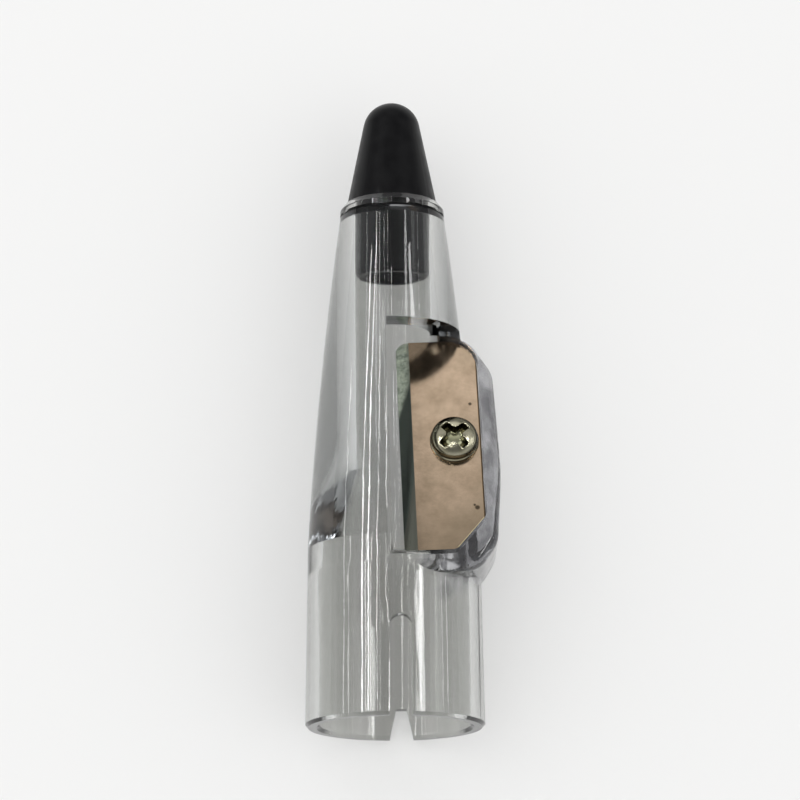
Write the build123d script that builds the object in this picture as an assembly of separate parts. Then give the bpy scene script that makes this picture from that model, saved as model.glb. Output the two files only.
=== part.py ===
"""Clear slip-on sharpener cap with a pull-out black nose plug.

Frame: the cap lies on its side. +Y runs along its axis from the open mouth to the
nose, +Z points up out of the face that carries the blade, and +X points to the boss.
The origin is the centre of the socket mouth. All sizes are in millimetres.
"""
from build123d import *
import math
import os

# ---- clear body, along its axis ----
mouth_r = 8.5            # outside radius at the socket mouth
skirt_end_r = 8.23       # outside radius where the taper begins
skirt_end_y = 17.6
waist_r = 6.96           # outside radius half-way along the gently bowed taper
waist_y = 34.1
neck_r = 5.1             # outside radius at the narrow end
body_len = 50.08
mouth_round = 0.3        # rounding of the mouth's outer edge

# ---- hollow of the body ----
socket_r = 7.15
socket_len = 14.6        # the straight grip, short of the blade's heel
taper_y = 17.2
taper_r = 6.95           # the socket tapers to this, which stops a barrel
funnel_angle = 21.0      # degrees, half-angle of the cone that leads into the bore
funnel_blend_r = 12.0    # the cone curves into the bore
bore_r = 3.6             # straight bore that holds the plug's shank
mouth_chamfer = 0.3

# ---- slit and notch that let the skirt grip ----
slit_x = 0.58
slit_w = 2.1
slit_len = 9.4
notch_depth = 2.9        # notch in the wall opposite the slit
notch_end_w = 1.0
notch_mouth_w = 2.3

# ---- blade seat: a plane that falls towards the nose ----
seat_slope = 0.30        # drop per unit length along +Y
seat_y = 26.5            # station where the seat's local frame sits
seat_z = 3.02            # height of the seat there
lip_h = 1.35             # lip of the boss above the seat

# ---- sharpener blade ----
blade_l = 23.2
blade_w = 7.75
blade_t = 0.55
blade_skew = 1.9         # degrees, leans the nose end towards the axis
blade_x = 4.5            # blade centre in the seat frame
blade_s = -0.16
blade_tip_round = 3.1    # rounded corner at the nose end
blade_round = 0.45       # the other corners
blade_heel_x = 3.0       # clipped corner at the mouth end
blade_heel_s = 3.6
edge_w = 1.3             # width of the ground edge
edge_land = 0.06         # thickness left at the cutting edge
blade_gap = 0.12         # play between the blade and its pocket

# ---- pocket and throat beside the blade ----
throat_x = -0.6          # left wall of the pocket
pocket_end_y = 38.46     # square end wall of the pocket
throat_heel_x = -0.1     # the wall's place at the blade's heel

# ---- boss that carries the blade's outer half ----
boss_bottom_z = -2.4
boss_round = 0.9         # rounding of its top edge
boss_corners = [         # x, y and corner radius, seen from above
    (0, 13.5, 0),
    (8.0, 13.5, 2.6),
    (9.75, 16.4, 3.0),
    (10.2, 23.5, 30.0),
    (9.55, 34.0, 3.2),
    (7.4, 37.4, 3.2),
    (4.6, pocket_end_y, 0),
    (0, pocket_end_y, 0),
]
rim_inset = 0.5          # edges nearer than this to the cut sides stay sharp

# ---- blade screw ----
screw_x = 5.8
screw_s = 0.25
screw_r = 1.1            # over the thread
screw_core_r = 0.85
screw_pitch = 0.55
screw_len = 5.6          # below the seat
thread_start = 0.2       # plain neck below the seat
screw_tip_len = 1.0
screw_tip_r = 0.15
head_r = 2.33
head_side_h = 0.55
head_h = 1.6
head_dome = 0.72         # fullness of the head's rounded top
cross_r = 1.62           # half span of the cross recess
cross_w = 0.75
cross_depth = 1.0
cross_floor_r = 0.6      # the recess narrows to this
cross_rim_r = 1.0
cross_turn = 42.0        # degrees, how the recess happens to stand
hole_gap = 0.05          # play around the thread
hole_extra = 0.4         # depth of the hole below the tip
blade_hole_gap = 0.2
head_lift = 0.01         # the head rests just clear of the blade

# ---- collar ring ----
collar_gap = 0.02
collar_len = 1.05
collar_r = 5.08
collar_bevel = 0.6
collar_bevel_r = 4.66

# ---- nose plug ----
shank_r = 3.55
shank_bore_r = 2.7
shank_end_y = 43.55
shank_lead = 0.2         # chamfer on the shank's end
flange_r = 4.95
flange_t = 0.25
nose_base_r = 4.42
nose_half_angle = 11.08  # degrees
nose_tip_r = 2.8
plug_len_y = 62.05       # station of the nose's tip
hollow_end_y = 57.5
hollow_end_r = 1.7

tilt = math.degrees(math.atan(seat_slope))
seat = Plane(
    origin=(0, seat_y, seat_z),
    x_dir=(1, 0, 0),
    z_dir=(0, math.sin(math.radians(tilt)), math.cos(math.radians(tilt))),
)
flange_y = body_len + collar_gap
collar_y = flange_y + flange_t + collar_gap
nose_y = collar_y + collar_len + collar_gap
far = 30.0               # reach of the cutting blocks, beyond every face


def turned(outline):
    """Solid of revolution about the Y axis from a closed outline in the XY plane."""
    return revolve(make_face(outline), axis=Axis.Y)


def loop(points):
    """Closed outline of straight sides through (radius, station) points."""
    return Polyline(*points, close=True)


def on_seat(solid, x=0.0, s=0.0, turn=0.0, lift=0.0):
    """Place a solid that was drawn flat onto the blade seat."""
    return seat.location * Pos(x, s, lift) * Rot(0, 0, turn) * solid


def body_blank():
    """Outside of the clear body: a straight skirt and a slightly bowed taper."""
    outline = (
        Polyline((0, 0), (mouth_r - mouth_round, 0), (mouth_r, mouth_round))
        + Line((mouth_r, mouth_round), (skirt_end_r, skirt_end_y))
        + ThreePointArc((skirt_end_r, skirt_end_y), (waist_r, waist_y), (neck_r, body_len))
        + Polyline((neck_r, body_len), (0, body_len), (0, 0))
    )
    return turned(outline)


def hollow():
    """Socket, its taper, the lead-in cone and the bore, all on the axis."""
    slope = math.radians(funnel_angle)
    blend_r = bore_r + funnel_blend_r * (1 - math.cos(slope))
    blend_y = taper_y + (taper_r - blend_r) / math.tan(slope)
    bore_y = blend_y + funnel_blend_r * math.sin(slope)
    mid_r = bore_r + funnel_blend_r * (1 - math.cos(slope / 2))
    mid_y = bore_y - funnel_blend_r * math.sin(slope / 2)
    outline = (
        Polyline(
            (0, -1),
            (socket_r + mouth_chamfer, -1),
            (socket_r + mouth_chamfer, 0),
            (socket_r, mouth_chamfer),
            (socket_r, socket_len),
            (taper_r, taper_y),
            (blend_r, blend_y),
        )
        + ThreePointArc((blend_r, blend_y), (mid_r, mid_y), (bore_r, bore_y))
        + Polyline(
            (bore_r, bore_y),
            (bore_r, body_len - mouth_chamfer),
            (bore_r + mouth_chamfer, body_len),
            (bore_r + mouth_chamfer, body_len + 1),
            (0, body_len + 1),
            (0, -1),
        )
    )
    return turned(outline)


def half_space():
    """Large block that stands on the plane it is placed on."""
    return Box(4 * far, 4 * far, 2 * far, align=(Align.CENTER, Align.CENTER, Align.MIN))


def above_lip():
    """Everything over the boss's top plane, right of the throat, short of the end wall."""
    column = Box(far, pocket_end_y, far, align=(Align.MIN, Align.MIN, Align.MIN))
    return on_seat(half_space(), lift=lip_h) & (Pos(throat_x, 0, 0) * column)


def boss():
    """Raised block around the blade, with rounded corners and a rounded top edge."""
    corners = [(x, y) for x, y, radius in boss_corners]
    radii = [radius for x, y, radius in boss_corners]
    outline = FilletPolyline(*corners, radius=radii, close=True)
    block = Pos(0, 0, boss_bottom_z) * extrude(make_face(outline), amount=far)
    block = block - on_seat(half_space(), lift=lip_h)
    top = max(block.faces(), key=lambda face: face.normal_at().dot(seat.z_dir))
    outer = [edge for edge in top.edges() if edge.center().X > rim_inset]
    rim = [edge for edge in outer if edge.center().Y < pocket_end_y - rim_inset]
    return fillet(rim, boss_round)


def blade_outline(grow=0.0):
    """Blade plate seen from above, centred; grow adds play on every side."""
    half_w = blade_w / 2 + grow
    half_l = blade_l / 2 + grow
    corners = [
        (-half_w, -half_l),
        (half_w - blade_heel_x, -half_l),
        (half_w, -half_l + blade_heel_s),
        (half_w, half_l),
        (-half_w, half_l),
    ]
    heel_round = 2 * blade_round
    radii = [blade_round, heel_round, heel_round, blade_tip_round + grow, heel_round]
    return make_face(FilletPolyline(*corners, radius=radii, close=True))


def pocket():
    """Recess for the blade, open on the left as far as the throat wall."""
    recess = extrude(blade_outline(blade_gap), amount=far)
    recess = on_seat(recess, blade_x, blade_s, blade_skew)
    heel_y = -blade_l / 2 - blade_gap
    throat = Polyline(
        (throat_heel_x, blade_s + heel_y),
        (blade_x, blade_s + heel_y),
        (blade_x, far),
        (throat_x, far),
        (throat_x, blade_l / 2),
        close=True,
    )
    beside = on_seat(extrude(make_face(throat), amount=far))
    limit = Box(2 * far, pocket_end_y, 2 * far, align=(Align.CENTER, Align.MIN, Align.CENTER))
    return (recess + beside) & limit


def screw_hole():
    """Blind hole for the blade screw, square to the seat."""
    depth = screw_len + hole_extra
    drill = Cylinder(screw_r + hole_gap, depth, align=(Align.CENTER, Align.CENTER, Align.MAX))
    return on_seat(drill, screw_x, screw_s, lift=head_lift)


def slit():
    """Slit through the upper wall of the skirt, with a round end."""
    half = slit_w / 2
    side_y = slit_len - half
    outline = (
        Polyline((-half, side_y), (-half, -1), (half, -1), (half, side_y))
        + ThreePointArc((half, side_y), (0, slit_len), (-half, side_y))
    )
    return Pos(slit_x, 0, 0) * extrude(make_face(outline), amount=far)


def notch():
    """Short tapered notch in the skirt's mouth, opposite the slit."""
    flare = (notch_mouth_w - notch_end_w) / (2 * notch_depth)
    outline = Polyline(
        (-notch_mouth_w / 2 - flare, -1),
        (notch_mouth_w / 2 + flare, -1),
        (notch_end_w / 2, notch_depth),
        (-notch_end_w / 2, notch_depth),
        close=True,
    )
    return Pos(slit_x, 0, -far) * extrude(make_face(outline), amount=far)


def clear_body():
    shape = body_blank() - above_lip() + boss()
    return shape - hollow() - pocket() - screw_hole() - slit() - notch()


def sharpener_blade():
    plate = extrude(blade_outline(), amount=blade_t)
    left = -blade_w / 2
    wedge = Polyline(
        (left - 1, blade_t + 1),
        (left - 1, edge_land),
        (left, edge_land),
        (left + edge_w, blade_t),
        (left + edge_w, blade_t + 1),
        close=True,
    )
    ground = Pos(0, far, 0) * extrude(Plane.XZ * make_face(wedge), amount=2 * far)
    plate = on_seat(plate - ground, blade_x, blade_s, blade_skew)
    drill = Cylinder(screw_r + blade_hole_gap, 4 * blade_t)
    return plate - on_seat(drill, screw_x, screw_s)


def screw_head():
    base = blade_t + head_lift
    side_top = base + head_side_h
    dome = (head_dome * head_r, side_top + head_dome * (head_h - head_side_h))
    outline = (
        Polyline((0, base), (head_r, base), (head_r, side_top))
        + ThreePointArc((head_r, side_top), dome, (0, base + head_h))
        + Line((0, base + head_h), (0, base))
    )
    head = revolve(make_face(Plane.XZ * outline), axis=Axis.Z)
    deep = 1.2 * cross_depth
    recess = Cone(cross_floor_r, cross_rim_r, deep, align=(Align.CENTER, Align.CENTER, Align.MIN))
    arm = Box(2 * cross_r, cross_w, deep, align=(Align.CENTER, Align.CENTER, Align.MIN))
    recess = recess + arm + Rot(0, 0, 90) * arm
    return head - Pos(0, 0, base + head_h - cross_depth) * Rot(0, 0, cross_turn) * recess


def screw_shank():
    """Core with a stack of V-shaped rings for its thread, ending in a blunt tip."""
    outline = [(0, blade_t + head_lift), (screw_core_r, blade_t + head_lift)]
    outline.append((screw_core_r, -thread_start))
    threaded = screw_len - screw_tip_len - thread_start
    for turn in range(int(threaded / screw_pitch)):
        root = -thread_start - turn * screw_pitch
        outline.append((screw_r, root - screw_pitch / 2))
        outline.append((screw_core_r, root - screw_pitch))
    outline += [(screw_tip_r, -screw_len), (0, -screw_len)]
    return revolve(make_face(Plane.XZ * Polyline(*outline, close=True)), axis=Axis.Z)


def blade_screw():
    return on_seat(screw_head() + screw_shank(), screw_x, screw_s)


def collar_ring():
    top = collar_y + collar_len
    return turned(loop([
        (shank_r + collar_gap, collar_y),
        (collar_r, collar_y),
        (collar_r, top - collar_bevel),
        (collar_bevel_r, top),
        (shank_r + collar_gap, top),
    ]))


def nose_plug():
    slope = math.radians(nose_half_angle)
    ball_y = plug_len_y - nose_tip_r
    touch = (nose_tip_r * math.cos(slope), ball_y + nose_tip_r * math.sin(slope))
    half_way = math.radians((90 + nose_half_angle) / 2)
    crown = (nose_tip_r * math.cos(half_way), ball_y + nose_tip_r * math.sin(half_way))
    outline = (
        Polyline(
            (shank_bore_r, shank_end_y),
            (shank_r - shank_lead, shank_end_y),
            (shank_r, shank_end_y + shank_lead),
            (shank_r, flange_y),
            (flange_r, flange_y),
            (flange_r, flange_y + flange_t),
            (shank_r, flange_y + flange_t),
            (shank_r, nose_y),
            (nose_base_r, nose_y),
            touch,
        )
        + ThreePointArc(touch, crown, (0, plug_len_y))
        + Polyline(
            (0, plug_len_y),
            (0, hollow_end_y),
            (hollow_end_r, hollow_end_y),
            (shank_bore_r, nose_y),
            (shank_bore_r, shank_end_y),
        )
    )
    return turned(outline)


nodes = {
    "clear_body": clear_body(),
    "sharpener_blade": sharpener_blade(),
    "blade_screw": blade_screw(),
    "collar_ring": collar_ring(),
    "nose_plug": nose_plug(),
}

os.makedirs("parts", exist_ok=True)
for name, shape in nodes.items():
    export_step(shape, f"parts/{name}.step")
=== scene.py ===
import math

import bpy
import bmesh
from mathutils import Matrix, Vector


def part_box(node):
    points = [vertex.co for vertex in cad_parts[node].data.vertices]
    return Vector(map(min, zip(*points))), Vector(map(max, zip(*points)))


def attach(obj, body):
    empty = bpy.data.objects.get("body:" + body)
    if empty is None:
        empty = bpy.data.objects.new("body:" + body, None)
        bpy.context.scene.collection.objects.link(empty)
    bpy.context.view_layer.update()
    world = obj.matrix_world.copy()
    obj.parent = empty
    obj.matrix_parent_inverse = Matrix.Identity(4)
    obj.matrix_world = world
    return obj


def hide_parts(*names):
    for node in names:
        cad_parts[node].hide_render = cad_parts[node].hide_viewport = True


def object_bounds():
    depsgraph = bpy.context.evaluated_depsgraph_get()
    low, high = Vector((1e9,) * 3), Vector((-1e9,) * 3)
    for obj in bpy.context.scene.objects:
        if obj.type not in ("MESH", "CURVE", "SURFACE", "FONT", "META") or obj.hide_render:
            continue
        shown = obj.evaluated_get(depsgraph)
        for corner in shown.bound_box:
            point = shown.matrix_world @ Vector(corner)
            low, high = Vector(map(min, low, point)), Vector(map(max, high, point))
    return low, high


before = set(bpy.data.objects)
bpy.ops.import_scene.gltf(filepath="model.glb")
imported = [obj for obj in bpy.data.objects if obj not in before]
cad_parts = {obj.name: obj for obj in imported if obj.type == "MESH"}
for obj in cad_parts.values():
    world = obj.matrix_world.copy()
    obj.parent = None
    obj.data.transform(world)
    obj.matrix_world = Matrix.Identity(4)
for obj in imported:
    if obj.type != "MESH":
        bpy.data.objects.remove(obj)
cad_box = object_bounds()
scene = bpy.context.scene
MM = 0.001

# ---- camera ----
VIEW_TILT = math.radians(14.45)     # how far the camera leans back from straight down
VIEW_ROLL = math.radians(-0.4)
VIEW_DISTANCE = 313.2 * MM
VIEW_TARGET = Vector((0.66, 31.88, 0.0)) * MM
LENS_MM = 145.86
SENSOR_MM = 36.0

# ---- floor and light ----
FLOOR_SIZE = 4.0
FLOOR_COLOR = (0.88, 0.88, 0.87, 1)
WORLD_STOPS = ((0.0, 0.34), (0.35, 0.44), (0.62, 0.38), (0.85, 0.20), (1.0, 0.10))
CARD_ANGLE = 62.0        # degrees from straight up, towards the nose
CARD_INNER = 11.0        # degrees from the card's middle, inside which it is full
CARD_OUTER = 20.0        # and beyond which it is gone
CARD_LEVEL = 0.55
AMBIENT = 0.36           # the dome that matte surfaces see, not mirrored by glossy ones
KEY_PLACE = Vector((-0.5, 0.35, 1.2))   # metres from the object's centre
KEY_SIZE = 1.1
KEY_POWER = 7.0
FILL_PLACE = Vector((0.8, -0.5, 1.0))
FILL_SIZE = 1.2
FILL_POWER = 3.5
STRIP_DISTANCE = 0.9
STRIPS = (               # name, side angle, along from, to (degrees), width (m), radiance
    ("strip_far_left", -70.0, 2, 24, 0.015, 9),
    ("strip_left_wide", -43.0, 2, 31, 0.03, 19),
    ("strip_left", -34.0, 2, 32, 0.020, 30),
    ("strip_mid_left", -22.0, 2, 27, 0.010, 22),
    ("strip_inner", -11.6, 2, 28, 0.013, 17),
    ("strip_top", -1.5, 12, 31, 0.014, 20),
    ("strip_right", 36.0, 2, 31, 0.10, 8.5),
    ("strip_right_soft", 58.0, 2, 26, 0.16, 1.0),
    ("strip_far_right", 72.0, 2, 24, 0.015, 8),
)

# ---- clear plastic; each pair of places is where a mask starts to change and where it has, in mm ----
PLASTIC_IOR = 1.50
HAZE_SCALE = 260                         # noise scales are per metre
HAZE_ROUGHNESS = (0.01, 0.05)
WAVES_SCALE = 190
WAVES_STRETCH = (1, 0.35, 1)
WAVES_STRENGTH = (0.10, 0.90)            # on the walls, and on the boss
WAVES_HEIGHT = 0.15 * MM
LINES_SCALE = 520                        # draw lines along the cap
LINES_STRETCH = (1, 0.03, 1)
LINES_STRENGTH = 0.16
LINES_HEIGHT = 0.12 * MM
GRAIN_SCALE = 900
GRAIN_STRETCH = (1, 0.6, 1)
GRAIN_STRENGTH = (0.05, 0.60)            # on the walls, and on the boss
GRAIN_HEIGHT = 0.08 * MM
BLOTCH_SCALE = 420
BLOTCH_STRETCH = (1, 0.5, 1)
SIDE_FACING = (0.03, 0.30)               # how far a surface turns away before it has the side tint, a painted shade for the longer way through the wall
UNDERSIDE_Z = (5.0, -1.0)                # painted shade: the lower wall is tinted greyer than the upper one
UNDERSIDE_SHADE_TINT = (0.735, 0.732, 0.722)
BOSS_X = (3.5, 6.5)
BOSS_Y_LOW = (12.5, 14.5)
BOSS_Y_HIGH = (37.5, 39.5)
BOSS_TRANSMISSION = 0.88
HEEL_SHADE_LINE = (0.05, 0.05, 0.045)          # painted shade: dark line of the pocket's end under the blade's heel
HEEL_Y_LOW = (15.1, 15.25)
HEEL_Y_HIGH = (16.2, 15.9)
HEEL_Z = (7.0, 7.2)
HEEL_X_LOW = (-0.5, 0.1)
HEEL_X_HIGH = (4.2, 3.4)
ABSORPTION = (0.62, 0.64, 0.66, 1)
ABSORPTION_DENSITY = 85.0
CLEAR_TINTS = {
    "dark": (0.905, 0.910, 0.890),       # of the streaks
    "light": (1.0, 1.0, 0.99),
    "side": (0.765, 0.772, 0.752),
    # the boss's blotches: uneven tone, partly painted highlight and shade
    "boss_dark": (0.30, 0.297, 0.308),
    "boss_light": (0.76, 0.755, 0.77),
}
COLLAR_TINTS = {
    "dark": (0.74, 0.74, 0.72),
    "light": (0.80, 0.80, 0.78),
    "side": (0.74, 0.74, 0.72),
    "boss_dark": (0.66, 0.66, 0.64),
    "boss_light": (0.66, 0.66, 0.64),
}

# ---- blade and screw, in millimetres ----
SEAT_TILT = math.atan(0.30)
BLADE_SKEW = math.radians(1.9)
BLADE_EDGE_X = -2.575    # where the ground edge meets the flat, across the blade from its centre
BLADE_SPOTS = (          # x, y and radius of small stains, in the blade's frame
    (3.06, 4.49, 0.22),
    (3.2, -6.89, 0.30),
    (2.95, -6.6, 0.16),
)
STAIN = (0.05, 0.035, 0.02)
STAIN_Z = 0.25           # close under the blade's upper face
WARM_STOPS = ((0.35, (0.50, 0.374, 0.252)), (0.65, (0.76, 0.575, 0.405)))
DULL_TONE = (0.52, 0.42, 0.29)
HEEL_TONE = (0.34, 0.262, 0.176)         # painted shade: the flat darkens towards the heel
HEEL_TONE_Y = (-11.6, -2.0)
CORNER_DIRECTION = (0.768, -0.640)       # across the cut corner at the heel
CORNER_GLINT = (7.93, 8.0)
CORNER_GLINT_COLOR = (0.95, 0.82, 0.50)
# painted shadow: a dark line along the blade's outer side, where the gap is
SIDE_SHADOW_X = (3.76, 3.82)
SIDE_SHADOW_COLOR = (0.12, 0.08, 0.04)
GROUND_STOPS = ((0.35, (0.19, 0.23, 0.18)), (0.65, (0.58, 0.63, 0.52)))   # painted reflection: pale end of the ground edge
GROUND_DARK_REFLECTION = (0.09, 0.105, 0.092)       # painted reflection: its dark middle
GROUND_HEEL = (0.12, 0.125, 0.105)       # and its heel, also painted reflection
PALE_SLOPE = -3.0        # the slanting line between the pale end and the dark middle
PALE_SPAN = (14.2, 15.8)
HEEL_SLOPE = 5.1         # and the one between the middle and the heel
HEEL_SPAN = (-10.4, -9.2)
EDGE_BLUR = 0.03         # half the width over which the flat turns into the ground edge
SCREW_SEAT = Vector((5.8, 26.9, 3.484)) * MM   # middle of the head's underside
SCREW_TONES = {          # mottled between the first two; the third is a painted dark reflection where the metal turns away
    "screw_metal_look": ((0.50, 0.47, 0.32), (0.70, 0.67, 0.50), (0.07, 0.065, 0.04)),
    # painted shade on the recess walls, painted light on the recess floor
    "screw_recess_painted_shade": ((0.08, 0.072, 0.03), (0.15, 0.135, 0.065), (0.05, 0.045, 0.02)),
    "screw_floor_painted_light": ((0.42, 0.42, 0.26), (0.60, 0.60, 0.40), (0.30, 0.30, 0.18)),
}
BLACK_STOPS = ((0.3, (0.0020, 0.0020, 0.0026)), (0.7, (0.0045, 0.0045, 0.0052)))
CROSS_TURN = math.radians(42.0)
HEAD_R = 2.33
HEAD_H = 1.7
CROSS_HALF_W = 0.46
CROSS_NARROWING = 0.10    # share of the half width lost per millimetre outward
CROSS_WALL = 0.10
CROSS_REACH = 1.66
CROSS_END = 0.45          # length of the slope at an arm's end
CROSS_RISE = 0.35         # share of the depth lost towards an arm's end
CROSS_CORE_R = 0.62
CROSS_DEPTH = 0.95
CROSS_SHIFT = (-0.09, -0.10)   # the recess is punched a little off centre
WALL_DEPTH = 0.10         # the recess has painted shade below this depth
FLOOR_DEPTH = 0.86        # and painted light again below this one, within FLOOR_R
FLOOR_R = 0.85
SCREW_SIDES = 192
DOME_RINGS = 90
DOME_POWER = 2.4
HEAD_PROFILE = (          # inward from HEAD_R, and height, from the underside to the dome's foot
    (HEAD_R, 0.0),
    (0.08, 0.0),
    (0.02, 0.02),
    (0.0, 0.09),
    (0.0, 0.20),
    (0.02, 0.26),
    (0.09, 0.31),
    (0.12, 0.36),
    (0.11, 0.42),
    (0.09, 0.52),
    (0.09, 0.62),
    (0.12, 0.70),
)
CORE_R = 0.85
THREAD_R = 1.1
THREAD_PITCH = 0.55
THREAD_LEN = 4.9
THREAD_SIDES = 40
THREAD_PROFILE = (        # share of the pitch, and radius
    (0.0, CORE_R),
    (0.32, CORE_R),
    (0.5, THREAD_R),
    (0.58, THREAD_R),
    (0.76, CORE_R),
)
TIP_TAPER_LEN = 1.2
TIP_TAPER_LEAST = 0.12
TIP_TAPER_PAST = 0.4      # how far the thread's end lies past its length

# ---- edges ----
BLADE_ROUNDING = 0.05 * MM
NOSE_ROUNDING = 0.08 * MM
BEVEL_SEGMENTS = 3
BEVEL_ANGLE = math.radians(28)
MERGE_DISTANCE = 0.0005 * MM
SCREW_MERGE_DISTANCE = 0.0001 * MM
FLAT_ANGLE = math.radians(0.5)
SHARP_ANGLE = math.radians(50)
FLAT_FACE_WEIGHT = 100
LIGHT_BOUNCES = 20


def box_centre(box):
    return (Vector(box[0]) + Vector(box[1])) / 2


def look_at(obj, target):
    direction = target - obj.location
    obj.rotation_euler = direction.to_track_quat("-Z", "Y").to_euler()


# ---------------------------------------------------------------- node helpers
class Nodes:
    """Short calls for building a material's node tree."""

    def __init__(self, name):
        self.material = bpy.data.materials.new(name)
        self.material.use_nodes = True
        self.tree = self.material.node_tree
        self.tree.nodes.clear()
        self.output = self.add("ShaderNodeOutputMaterial")
        self.shader = self.add("ShaderNodeBsdfPrincipled")
        self.link(self.shader, "BSDF", self.output, "Surface")

    def add(self, kind, **settings):
        node = self.tree.nodes.new(kind)
        for key, value in settings.items():
            setattr(node, key, value)
        return node

    def link(self, source, out, target, into):
        self.tree.links.new(source.outputs[out], target.inputs[into])

    def set(self, **values):
        for key, value in values.items():
            self.shader.inputs[key.replace("_", " ")].default_value = value

    def coords(self, scale=(1, 1, 1)):
        source = self.add("ShaderNodeTexCoord")
        mapping = self.add("ShaderNodeMapping")
        mapping.inputs["Scale"].default_value = scale
        self.link(source, "Object", mapping, "Vector")
        return mapping

    def noise(self, mapping, scale, detail=3.0, rough=0.5):
        node = self.add("ShaderNodeTexNoise")
        node.inputs["Scale"].default_value = scale
        node.inputs["Detail"].default_value = detail
        node.inputs["Roughness"].default_value = rough
        self.link(mapping, "Vector", node, "Vector")
        return node

    def ramp(self, source, out, stops):
        node = self.add("ShaderNodeValToRGB")
        elements = node.color_ramp.elements
        while len(elements) < len(stops):
            elements.new(0.5)
        for element, (place, color) in zip(elements, stops):
            element.position = place
            element.color = (*color, 1)
        self.link(source, out, node, "Fac")
        return node

    def span(self, source, out, low, high, to_low=0.0, to_high=1.0):
        node = self.add("ShaderNodeMapRange", interpolation_type="SMOOTHSTEP")
        node.inputs["From Min"].default_value = low
        node.inputs["From Max"].default_value = high
        node.inputs["To Min"].default_value = to_low
        node.inputs["To Max"].default_value = to_high
        self.link(source, out, node, "Value")
        return node

    def span_mm(self, source, out, ends, to_low=0.0, to_high=1.0):
        return self.span(source, out, ends[0] * MM, ends[1] * MM, to_low, to_high)

    def mix(self, factor, factor_out, a, b):
        """Colour mix; a and b are colours or (node, output)."""
        node = self.add("ShaderNodeMix", data_type="RGBA")
        self.link(factor, factor_out, node, 0)
        for value, socket in ((a, 6), (b, 7)):
            if isinstance(value[0], (int, float)):
                node.inputs[socket].default_value = (*value[:3], 1)
            else:
                self.tree.links.new(value[0].outputs[value[1]], node.inputs[socket])
        return node

    def math(self, operation, a, b):
        node = self.add("ShaderNodeMath", operation=operation)
        for index, value in enumerate((a, b)):
            if isinstance(value, (int, float)):
                node.inputs[index].default_value = value
            else:
                self.tree.links.new(value[0].outputs[value[1]], node.inputs[index])
        return node

    def bump(self, source, out, strength, distance, chain=None):
        node = self.add("ShaderNodeBump")
        node.inputs["Strength"].default_value = strength
        node.inputs["Distance"].default_value = distance
        self.link(source, out, node, "Height")
        if chain:
            self.link(chain, "Normal", node, "Normal")
        return node


# ---------------------------------------------------------------- materials
def seat_coords(n):
    """Object coordinates turned into the blade's own frame: x across, y along, from its centre."""
    source = n.add("ShaderNodeTexCoord")
    shift = n.add("ShaderNodeVectorMath", operation="SUBTRACT")
    n.link(source, "Object", shift, 0)
    shift.inputs[1].default_value = box_centre(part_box("sharpener_blade"))
    turn = n.add("ShaderNodeVectorRotate", rotation_type="EULER_XYZ", invert=True)
    turn.inputs["Rotation"].default_value = (-SEAT_TILT, 0, 0)
    n.link(shift, "Vector", turn, "Vector")
    skew = n.add("ShaderNodeVectorRotate", rotation_type="Z_AXIS", invert=True)
    skew.inputs["Angle"].default_value = BLADE_SKEW
    n.link(turn, "Vector", skew, "Vector")
    return skew


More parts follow.
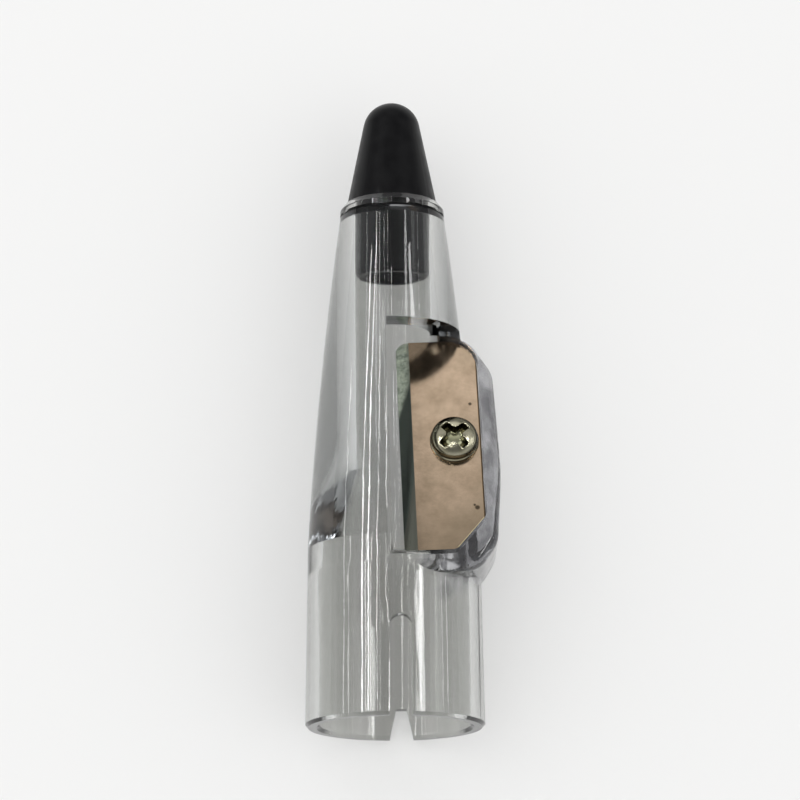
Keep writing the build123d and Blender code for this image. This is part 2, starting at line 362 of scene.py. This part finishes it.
def clear_plastic(name, tints):
    """Clear plastic, a little wavy and hazy; the thick boss is greyer and slightly milky, with blotches that
    are partly painted highlight; painted shade on slanted sides, on the lower wall and under the blade's
    heel.
    """
    n = Nodes(name)
    n.set(IOR=PLASTIC_IOR)
    where = n.coords()
    haze = n.noise(where, HAZE_SCALE, 4)
    rough = n.span(haze, "Fac", 0.35, 0.75, *HAZE_ROUGHNESS)
    n.link(rough, "Result", n.shader, "Roughness")

    ripple = n.noise(n.coords(scale=WAVES_STRETCH), WAVES_SCALE, 2)
    fine = n.noise(n.coords(scale=GRAIN_STRETCH), GRAIN_SCALE, 2)
    flow = n.noise(n.coords(scale=LINES_STRETCH), LINES_SCALE, 3)
    waves = n.bump(ripple, "Fac", WAVES_STRENGTH[0], WAVES_HEIGHT)
    lines = n.bump(flow, "Fac", LINES_STRENGTH, LINES_HEIGHT, waves)
    grain = n.bump(fine, "Fac", GRAIN_STRENGTH[0], GRAIN_HEIGHT, lines)
    n.link(grain, "Normal", n.shader, "Normal")

    parts = n.add("ShaderNodeSeparateXYZ")
    n.link(where, "Vector", parts, "Vector")
    outward = n.span_mm(parts, "X", BOSS_X)
    past_skirt = n.span_mm(parts, "Y", BOSS_Y_LOW)
    short_of_neck = n.span_mm(parts, "Y", BOSS_Y_HIGH, 1.0, 0.0)
    along = n.math("MULTIPLY", (past_skirt, "Result"), (short_of_neck, "Result"))
    boss = n.math("MULTIPLY", (outward, "Result"), (along, "Value"))

    streaky = n.mix(n.span(flow, "Fac", 0.36, 0.64), "Result", tints["dark"], tints["light"])
    # painted shade: the side tint darkens the plastic where it is seen at a slant
    facing = n.add("ShaderNodeLayerWeight")
    facing.inputs["Blend"].default_value = 0.5
    edged = n.mix(n.span(facing, "Facing", *SIDE_FACING), "Result", (streaky, 2), tints["side"])
    # painted shade: the lower wall is tinted darker
    underside_shaded = n.mix(n.span_mm(parts, "Z", UNDERSIDE_Z), "Result", (edged, 2), UNDERSIDE_SHADE_TINT)
    underside_shaded.blend_type = "MULTIPLY"
    # random blotches on the boss, partly painted highlights and shade of its wavy reflections
    blotch = n.noise(n.coords(scale=BLOTCH_STRETCH), BLOTCH_SCALE, 3)
    blotch_share = n.span(blotch, "Fac", 0.40, 0.62)
    mottled = n.mix(blotch_share, "Result", tints["boss_dark"], tints["boss_light"])
    shade = n.mix(boss, "Value", (underside_shaded, 2), (mottled, 2))

    # painted shade: a dark line along the pocket's end under the blade's heel
    heel_high = n.span_mm(parts, "Y", HEEL_Y_HIGH)
    heel_low = n.span_mm(parts, "Y", HEEL_Y_LOW)
    heel_end = n.math("MULTIPLY", (heel_high, "Result"), (heel_low, "Result"))
    heel_up = n.span_mm(parts, "Z", HEEL_Z)
    heel_right = n.span_mm(parts, "X", HEEL_X_HIGH)
    heel_top = n.math("MULTIPLY", (heel_up, "Result"), (heel_right, "Result"))
    heel_left = n.math("MULTIPLY", (heel_top, "Value"), (n.span_mm(parts, "X", HEEL_X_LOW), "Result"))
    heel_shade_mask = n.math("MULTIPLY", (heel_end, "Value"), (heel_left, "Value"))
    heel_shaded = n.mix(heel_shade_mask, "Value", (shade, 2), HEEL_SHADE_LINE)
    n.link(heel_shaded, 2, n.shader, "Base Color")

    milky = n.span(boss, "Value", 0.0, 1.0, 1.0, BOSS_TRANSMISSION)
    n.link(milky, "Result", n.shader, "Transmission Weight")
    uneven = n.span(boss, "Value", 0.0, 1.0, *WAVES_STRENGTH)
    n.link(uneven, "Result", waves, "Strength")
    pitted = n.span(boss, "Value", 0.0, 1.0, *GRAIN_STRENGTH)
    n.link(pitted, "Result", grain, "Strength")
    absorb = n.add("ShaderNodeVolumeAbsorption")
    absorb.inputs["Color"].default_value = ABSORPTION
    absorb.inputs["Density"].default_value = ABSORPTION_DENSITY
    n.link(absorb, "Volume", n.output, "Volume")
    return n.material


def blade_steel():
    """Rolled strip with a warm tint and small stains; the greyer ground edge at low x has a painted
    reflection, and the flat has painted shade at the heel, a painted shadow line and a painted glint.
    """
    n = Nodes("blade_steel_look")
    n.set(Metallic=1.0)
    local = seat_coords(n)
    parts = n.add("ShaderNodeSeparateXYZ")
    n.link(local, "Vector", parts, "Vector")
    where = n.coords()
    cloud = n.noise(where, 420, 6, 0.6)
    patch = n.noise(where, 120, 3)
    grain = n.noise(where, 5200, 2)
    warm = n.ramp(cloud, "Fac", WARM_STOPS)
    dullness = n.span(patch, "Fac", 0.45, 0.70, 0.0, 0.55)
    dull = n.mix(dullness, "Result", (warm, "Color"), DULL_TONE)
    # painted shade: the flat darkens towards the heel
    fade = n.span_mm(parts, "Y", HEEL_TONE_Y, 0.55, 0.0)
    flat = n.mix(fade, "Result", (dull, 2), HEEL_TONE)
    for spot_x, spot_y, size in BLADE_SPOTS:
        away = n.add("ShaderNodeVectorMath", operation="DISTANCE")
        n.link(local, "Vector", away, 0)
        away.inputs[1].default_value = (spot_x * MM, spot_y * MM, STAIN_Z * MM)
        mark = n.span(away, "Value", 0.5 * size * MM, size * MM, 0.85, 0.0)
        flat = n.mix(mark, "Result", (flat, 2), STAIN)
    corner_x = n.math("MULTIPLY", (parts, "X"), CORNER_DIRECTION[0])
    corner_y = n.math("MULTIPLY", (parts, "Y"), CORNER_DIRECTION[1])
    corner = n.math("ADD", (corner_x, "Value"), (corner_y, "Value"))
    glint = n.span_mm(corner, "Value", CORNER_GLINT)
    flat = n.mix(glint, "Result", (flat, 2), CORNER_GLINT_COLOR)
    # painted shadow line along the blade's outer side
    side = n.span_mm(parts, "X", SIDE_SHADOW_X)
    flat = n.mix(side, "Result", (flat, 2), SIDE_SHADOW_COLOR)
    mottle = n.noise(where, 1500, 5, 0.7)
    # painted reflections on the ground edge: a pale end, a dark middle and a dark heel
    pale = n.ramp(mottle, "Fac", GROUND_STOPS)
    slant = n.math("MULTIPLY", (parts, "X"), PALE_SLOPE)
    reach = n.math("ADD", (slant, "Value"), (parts, "Y"))
    heel_slant = n.math("MULTIPLY", (parts, "X"), HEEL_SLOPE)
    heel = n.math("SUBTRACT", (heel_slant, "Value"), (parts, "Y"))
    ground_dark = n.mix(n.span_mm(heel, "Value", HEEL_SPAN), "Result", GROUND_DARK_REFLECTION, GROUND_HEEL)
    ground = n.mix(n.span_mm(reach, "Value", PALE_SPAN), "Result", (ground_dark, 2), (pale, "Color"))
    edge_line = (BLADE_EDGE_X - EDGE_BLUR, BLADE_EDGE_X + EDGE_BLUR)
    on_edge = n.span_mm(parts, "X", edge_line, 1.0, 0.0)
    colour = n.mix(on_edge, "Result", (flat, 2), (ground, 2))
    n.link(colour, 2, n.shader, "Base Color")
    base = n.span(cloud, "Fac", 0.3, 0.7, 0.12, 0.18)
    rougher = n.span_mm(parts, "X", edge_line, 0.26, 0.0)
    satin = n.math("ADD", (base, "Result"), (rougher, "Result"))
    n.link(satin, "Value", n.shader, "Roughness")
    n.link(n.bump(grain, "Fac", 0.10, 0.01 * MM), "Normal", n.shader, "Normal")
    return n.material


def screw_metal(name):
    """Yellowish plated steel, mottled between two tones, with a painted dark reflection where it turns away.
    """
    low, high, rim = SCREW_TONES[name]
    n = Nodes(name)
    n.set(Metallic=1.0)
    where = n.coords()
    cloud = n.noise(where, 900, 4)
    tone = n.ramp(cloud, "Fac", [(0.3, low), (0.7, high)])
    weight = n.add("ShaderNodeLayerWeight")
    weight.inputs["Blend"].default_value = 0.5
    # painted dark reflection where the metal turns away
    turned = n.span(weight, "Facing", 0.15, 0.52)
    colour = n.mix(turned, "Result", (tone, "Color"), rim)
    n.link(colour, 2, n.shader, "Base Color")
    rough = n.span(cloud, "Fac", 0.3, 0.7, 0.12, 0.24)
    n.link(rough, "Result", n.shader, "Roughness")
    n.link(n.bump(n.noise(where, 3000, 3), "Fac", 0.1, 0.01 * MM), "Normal", n.shader, "Normal")
    return n.material


def black_plastic():
    """Near-black moulding with a fine grain."""
    n = Nodes("black_plastic_look")
    n.set(IOR=1.46, Specular_IOR_Level=0.16)
    where = n.coords()
    cloud = n.noise(where, 700, 4)
    tone = n.ramp(cloud, "Fac", BLACK_STOPS)
    n.link(tone, "Color", n.shader, "Base Color")
    rough = n.span(cloud, "Fac", 0.3, 0.7, 0.32, 0.42)
    n.link(rough, "Result", n.shader, "Roughness")
    n.link(n.bump(n.noise(where, 2500, 2), "Fac", 0.12, 0.02 * MM), "Normal", n.shader, "Normal")
    return n.material


def floor_paper():
    """Plain pale floor."""
    n = Nodes("floor_paper")
    n.set(Base_Color=FLOOR_COLOR, Roughness=0.9, Specular_IOR_Level=0.2)
    return n.material


# ---------------------------------------------------------------- pieces
def add_object(name, mesh, body, node=None):
    obj = bpy.data.objects.new(name, mesh)
    scene.collection.objects.link(obj)
    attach(obj, body)
    if node:
        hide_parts(node)
    return obj


def softened(node_name, piece_name, body, width, look):
    """A copy of a CAD node with its sharp edges rounded, which stands for the node."""
    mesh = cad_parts[node_name].data.copy()
    mesh.name = piece_name
    work = bmesh.new()
    work.from_mesh(mesh)
    bmesh.ops.remove_doubles(work, verts=work.verts, dist=MERGE_DISTANCE)
    bmesh.ops.dissolve_limit(work, angle_limit=FLAT_ANGLE, verts=work.verts, edges=work.edges)
    work.to_mesh(mesh)
    work.free()
    for face in mesh.polygons:
        face.use_smooth = True
    obj = add_object(piece_name, mesh, body, node_name)
    bevel = obj.modifiers.new("bevel", "BEVEL")
    bevel.width = width
    bevel.segments = BEVEL_SEGMENTS
    bevel.limit_method = "ANGLE"
    bevel.angle_limit = BEVEL_ANGLE
    bevel.use_clamp_overlap = True
    weights = obj.modifiers.new("flat_faces", "WEIGHTED_NORMAL")
    weights.mode = "FACE_AREA"
    weights.weight = FLAT_FACE_WEIGHT
    bake_modifiers(obj)
    obj.data.materials.clear()
    obj.data.materials.append(look)


def bake_modifiers(obj):
    bpy.context.view_layer.update()
    evaluated = obj.evaluated_get(bpy.context.evaluated_depsgraph_get())
    mesh = bpy.data.meshes.new_from_object(evaluated)
    obj.modifiers.clear()
    obj.data = mesh


def smooth_step(edge_low, edge_high, value):
    t = min(max((value - edge_low) / (edge_high - edge_low), 0.0), 1.0)
    return t * t * (3 - 2 * t)


def recess_depth(x, y):
    """How far the cross recess lies below the dome at (x, y), in mm, in the screw's own frame."""
    deepest = 0.0
    x, y = x - CROSS_SHIFT[0], y - CROSS_SHIFT[1]
    for along, across in ((x, y), (y, x)):
        tip = abs(along)
        half = CROSS_HALF_W * (1.0 - CROSS_NARROWING * tip)
        wall = 1.0 - smooth_step(half - CROSS_WALL, half + 0.04, abs(across))
        end = 1.0 - smooth_step(CROSS_REACH - CROSS_END, CROSS_REACH + 0.03, tip)
        slope = CROSS_DEPTH * (1.0 - CROSS_RISE * smooth_step(0.5, CROSS_REACH, tip))
        deepest = max(deepest, slope * wall * end)
    radius = math.hypot(x, y)
    cone = CROSS_DEPTH * (1.0 - smooth_step(CROSS_CORE_R - 0.10, CROSS_CORE_R + 0.22, radius))
    return max(deepest, cone)


def screw_outline():
    """Radius and height of the head below its dome, from the underside up."""
    return [(HEAD_R - inward, height) for inward, height in HEAD_PROFILE]


def screw_mesh():
    """The screw's head, with its underside at z 0: outline rings, then dome rings with the recess."""
    rings = screw_outline()
    rim_count = len(rings)
    rim_r, rim_h = rings[-1]
    for step in range(1, DOME_RINGS + 1):
        share = 1.0 - step / DOME_RINGS
        radius = rim_r * share
        height = rim_h + (HEAD_H - rim_h) * math.sqrt(max(0.0, 1.0 - share ** DOME_POWER))
        rings.append((radius, height))
    verts, faces = [], []
    for index, (radius, height) in enumerate(rings):
        for side in range(SCREW_SIDES):
            angle = 2 * math.pi * side / SCREW_SIDES
            x, y = radius * math.cos(angle), radius * math.sin(angle)
            sunk = recess_depth(x, y) if index >= rim_count else 0.0
            verts.append((x * MM, y * MM, (height - sunk) * MM))
    for index in range(len(rings) - 1):
        for side in range(SCREW_SIDES):
            a = index * SCREW_SIDES + side
            b = index * SCREW_SIDES + (side + 1) % SCREW_SIDES
            faces.append((a, b, b + SCREW_SIDES, a + SCREW_SIDES))
    mesh = bpy.data.meshes.new("screw_head")
    mesh.from_pydata(verts, [], faces)
    work = bmesh.new()
    work.from_mesh(mesh)
    bmesh.ops.remove_doubles(work, verts=work.verts, dist=SCREW_MERGE_DISTANCE)
    bmesh.ops.recalc_face_normals(work, faces=work.faces)
    work.to_mesh(mesh)
    work.free()
    return mesh


def paint_recess(mesh, place):
    """Gives the walls of the recess the second material, a painted shade, and its floor the third, a painted
    light.
    """
    back = place.inverted()
    for face in mesh.polygons:
        local = (back @ face.center) / MM
        depth = recess_depth(local.x, local.y)
        radius = math.hypot(local.x - CROSS_SHIFT[0], local.y - CROSS_SHIFT[1])
        if local.z > screw_outline()[-1][1] - CROSS_DEPTH and depth > WALL_DEPTH:
            face.material_index = 2 if depth > FLOOR_DEPTH and radius < FLOOR_R else 1


def thread_mesh():
    """Core and one helical thread ridge, as a swept strip that closes on itself at each pitch."""
    steps = int(THREAD_LEN / THREAD_PITCH * THREAD_SIDES)
    rows, verts, faces = [], [], []
    for step in range(steps + THREAD_SIDES + 1):
        angle = 2 * math.pi * step / THREAD_SIDES
        base = -THREAD_PITCH * step / THREAD_SIDES
        row = []
        for share, radius in THREAD_PROFILE:
            height = min(0.0, base + share * THREAD_PITCH)
            to_end = THREAD_LEN + TIP_TAPER_PAST + height
            taper = min(1.0, max(TIP_TAPER_LEAST, to_end / TIP_TAPER_LEN))
            row.append(len(verts))
            x = radius * taper * math.cos(angle) * MM
            y = radius * taper * math.sin(angle) * MM
            verts.append((x, y, height * MM))
        rows.append(row)
    for first, second in zip(rows, rows[1:]):
        for k in range(len(THREAD_PROFILE) - 1):
            faces.append((first[k], second[k], second[k + 1], first[k + 1]))
    for low, high in zip(range(THREAD_SIDES, len(rows) - 1), range(0, len(rows) - 1)):
        faces.append((rows[low][-1], rows[low + 1][-1], rows[high + 1][0], rows[high][0]))
    mesh = bpy.data.meshes.new("screw_thread")
    mesh.from_pydata(verts, [], faces)
    return mesh


looks = {
    "clear": clear_plastic("clear_plastic_look", CLEAR_TINTS),
    "collar": clear_plastic("collar_plastic_look", COLLAR_TINTS),
    "blade": blade_steel(),
    "screw": screw_metal("screw_metal_look"),
    "recess_shade": screw_metal("screw_recess_painted_shade"),
    "recess_light": screw_metal("screw_floor_painted_light"),
    "black": black_plastic(),
}
for name, look in (("clear_body", "clear"), ("collar_ring", "collar")):
    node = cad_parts[name]
    node.data.materials.clear()
    node.data.materials.append(looks[look])

softened("sharpener_blade", "blade_plate", "holder", BLADE_ROUNDING, looks["blade"])
softened("nose_plug", "nose_and_shank", "plug", NOSE_ROUNDING, looks["black"])

seat_turn = Matrix.Rotation(-SEAT_TILT, 4, "X")
head_place = Matrix.Translation(SCREW_SEAT) @ seat_turn @ Matrix.Rotation(CROSS_TURN, 4, "Z")
head_mesh = screw_mesh()
head_mesh.transform(head_place)
head = add_object("screw_head", head_mesh, "holder", "blade_screw")
thread = thread_mesh()
thread.transform(head_place)
shank = add_object("screw_thread", thread, "holder")
for look in ("screw", "recess_shade", "recess_light"):
    head.data.materials.append(looks[look])
paint_recess(head.data, head_place)
shank.data.materials.append(looks["screw"])
for obj in (head, shank):
    for face in obj.data.polygons:
        face.use_smooth = True
    obj.data.set_sharp_from_angle(angle=SHARP_ANGLE)

# ---------------------------------------------------------------- stage
floor_z = cad_box[0][2]
centre = box_centre(cad_box)
floor_mesh = bpy.data.meshes.new("floor")
half = FLOOR_SIZE / 2
corner_signs = ((-1, -1), (1, -1), (1, 1), (-1, 1))
corners = [(centre.x + sx * half, centre.y + sy * half, floor_z) for sx, sy in corner_signs]
floor_mesh.from_pydata(corners, [], [(0, 1, 2, 3)])
floor = bpy.data.objects.new("floor", floor_mesh)
scene.collection.objects.link(floor)
floor_mesh.materials.append(floor_paper())


def studio_world():
    """Soft room, darker overhead, with a pale card beyond the nose and a dome for matte surfaces."""
    world = bpy.data.worlds.new("studio")
    scene.world = world
    world.use_nodes = True
    tree = world.node_tree
    tree.nodes.clear()
    out = tree.nodes.new("ShaderNodeOutputWorld")
    back = tree.nodes.new("ShaderNodeBackground")
    coord = tree.nodes.new("ShaderNodeTexCoord")
    parts = tree.nodes.new("ShaderNodeSeparateXYZ")
    tree.links.new(coord.outputs["Generated"], parts.inputs[0])
    ramp = tree.nodes.new("ShaderNodeValToRGB")
    while len(ramp.color_ramp.elements) < len(WORLD_STOPS):
        ramp.color_ramp.elements.new(0.5)
    for element, (place, value) in zip(ramp.color_ramp.elements, WORLD_STOPS):
        element.position = place
        element.color = (value, value, value * 1.02, 1)
    tree.links.new(parts.outputs["Z"], ramp.inputs[0])
    facing = tree.nodes.new("ShaderNodeVectorMath")
    facing.operation = "DOT_PRODUCT"
    tree.links.new(coord.outputs["Generated"], facing.inputs[0])
    angle = math.radians(CARD_ANGLE)
    facing.inputs[1].default_value = (0.0, math.sin(angle), math.cos(angle))
    card = tree.nodes.new("ShaderNodeMapRange")
    card.interpolation_type = "SMOOTHSTEP"
    card.inputs["From Min"].default_value = math.cos(math.radians(CARD_OUTER))
    card.inputs["From Max"].default_value = math.cos(math.radians(CARD_INNER))
    card.inputs["To Max"].default_value = CARD_LEVEL
    tree.links.new(facing.outputs["Value"], card.inputs["Value"])
    total = tree.nodes.new("ShaderNodeVectorMath")
    total.operation = "ADD"
    tree.links.new(ramp.outputs[0], total.inputs[0])
    tree.links.new(card.outputs[0], total.inputs[1])
    path = tree.nodes.new("ShaderNodeLightPath")
    matte = tree.nodes.new("ShaderNodeMath")
    matte.operation = "MINIMUM"
    matte.inputs[1].default_value = 1.0
    tree.links.new(path.outputs["Diffuse Depth"], matte.inputs[0])
    dome = tree.nodes.new("ShaderNodeVectorMath")
    dome.operation = "SCALE"
    dome.inputs[0].default_value = (AMBIENT, AMBIENT, AMBIENT)
    tree.links.new(matte.outputs[0], dome.inputs["Scale"])
    lit = tree.nodes.new("ShaderNodeVectorMath")
    lit.operation = "ADD"
    tree.links.new(total.outputs[0], lit.inputs[0])
    tree.links.new(dome.outputs[0], lit.inputs[1])
    tree.links.new(lit.outputs[0], back.inputs[0])
    tree.links.new(back.outputs[0], out.inputs[0])


def area_light(name, place, size_x, size_y, power, glossy=True, diffuse=True, shadow=True):
    light = bpy.data.lights.new(name, "AREA")
    light.shape = "RECTANGLE"
    light.size = size_x
    light.size_y = size_y
    light.energy = power
    light.use_shadow = shadow
    obj = bpy.data.objects.new(name, light)
    scene.collection.objects.link(obj)
    obj.location = place
    look_at(obj, centre)
    obj.visible_glossy = glossy
    obj.visible_transmission = glossy
    obj.visible_diffuse = diffuse
    return obj


def strip(name, side_angle, along_low, along_high, width, radiance):
    """Narrow lamp that runs along Y overhead, at an angle to the side of straight up; it only adds gloss."""
    angle = math.radians(side_angle)
    y_low = STRIP_DISTANCE * math.tan(math.radians(along_low))
    y_high = STRIP_DISTANCE * math.tan(math.radians(along_high))
    x, z = STRIP_DISTANCE * math.sin(angle), STRIP_DISTANCE * math.cos(angle)
    place = centre + Vector((x, (y_low + y_high) / 2, z))
    length = y_high - y_low
    obj = area_light(name, place, width, length, radiance * math.pi * width * length, diffuse=False)
    obj.rotation_euler = (0, angle, 0)


studio_world()
for name, side, low, high, width, radiance in STRIPS:
    strip(name, side, low, high, width, radiance)
area_light("key", centre + KEY_PLACE, KEY_SIZE, KEY_SIZE, KEY_POWER, glossy=False, shadow=False)
area_light("fill", centre + FILL_PLACE, FILL_SIZE, FILL_SIZE, FILL_POWER, glossy=False, shadow=False)

# ---------------------------------------------------------------- camera
camera_data = bpy.data.cameras.new("camera")
camera_data.lens = LENS_MM
camera_data.sensor_width = SENSOR_MM
camera_data.clip_start = 0.01
camera = bpy.data.objects.new("camera", camera_data)
scene.collection.objects.link(camera)
turn = Matrix.Rotation(VIEW_TILT, 4, "X") @ Matrix.Rotation(VIEW_ROLL, 4, "Z")
camera.matrix_world = Matrix.Translation(VIEW_TARGET) @ turn @ Matrix.Translation((0, 0, VIEW_DISTANCE))
scene.camera = camera
scene.view_settings.view_transform = "Standard"
scene.cycles.max_bounces = LIGHT_BOUNCES
scene.cycles.transmission_bounces = LIGHT_BOUNCES
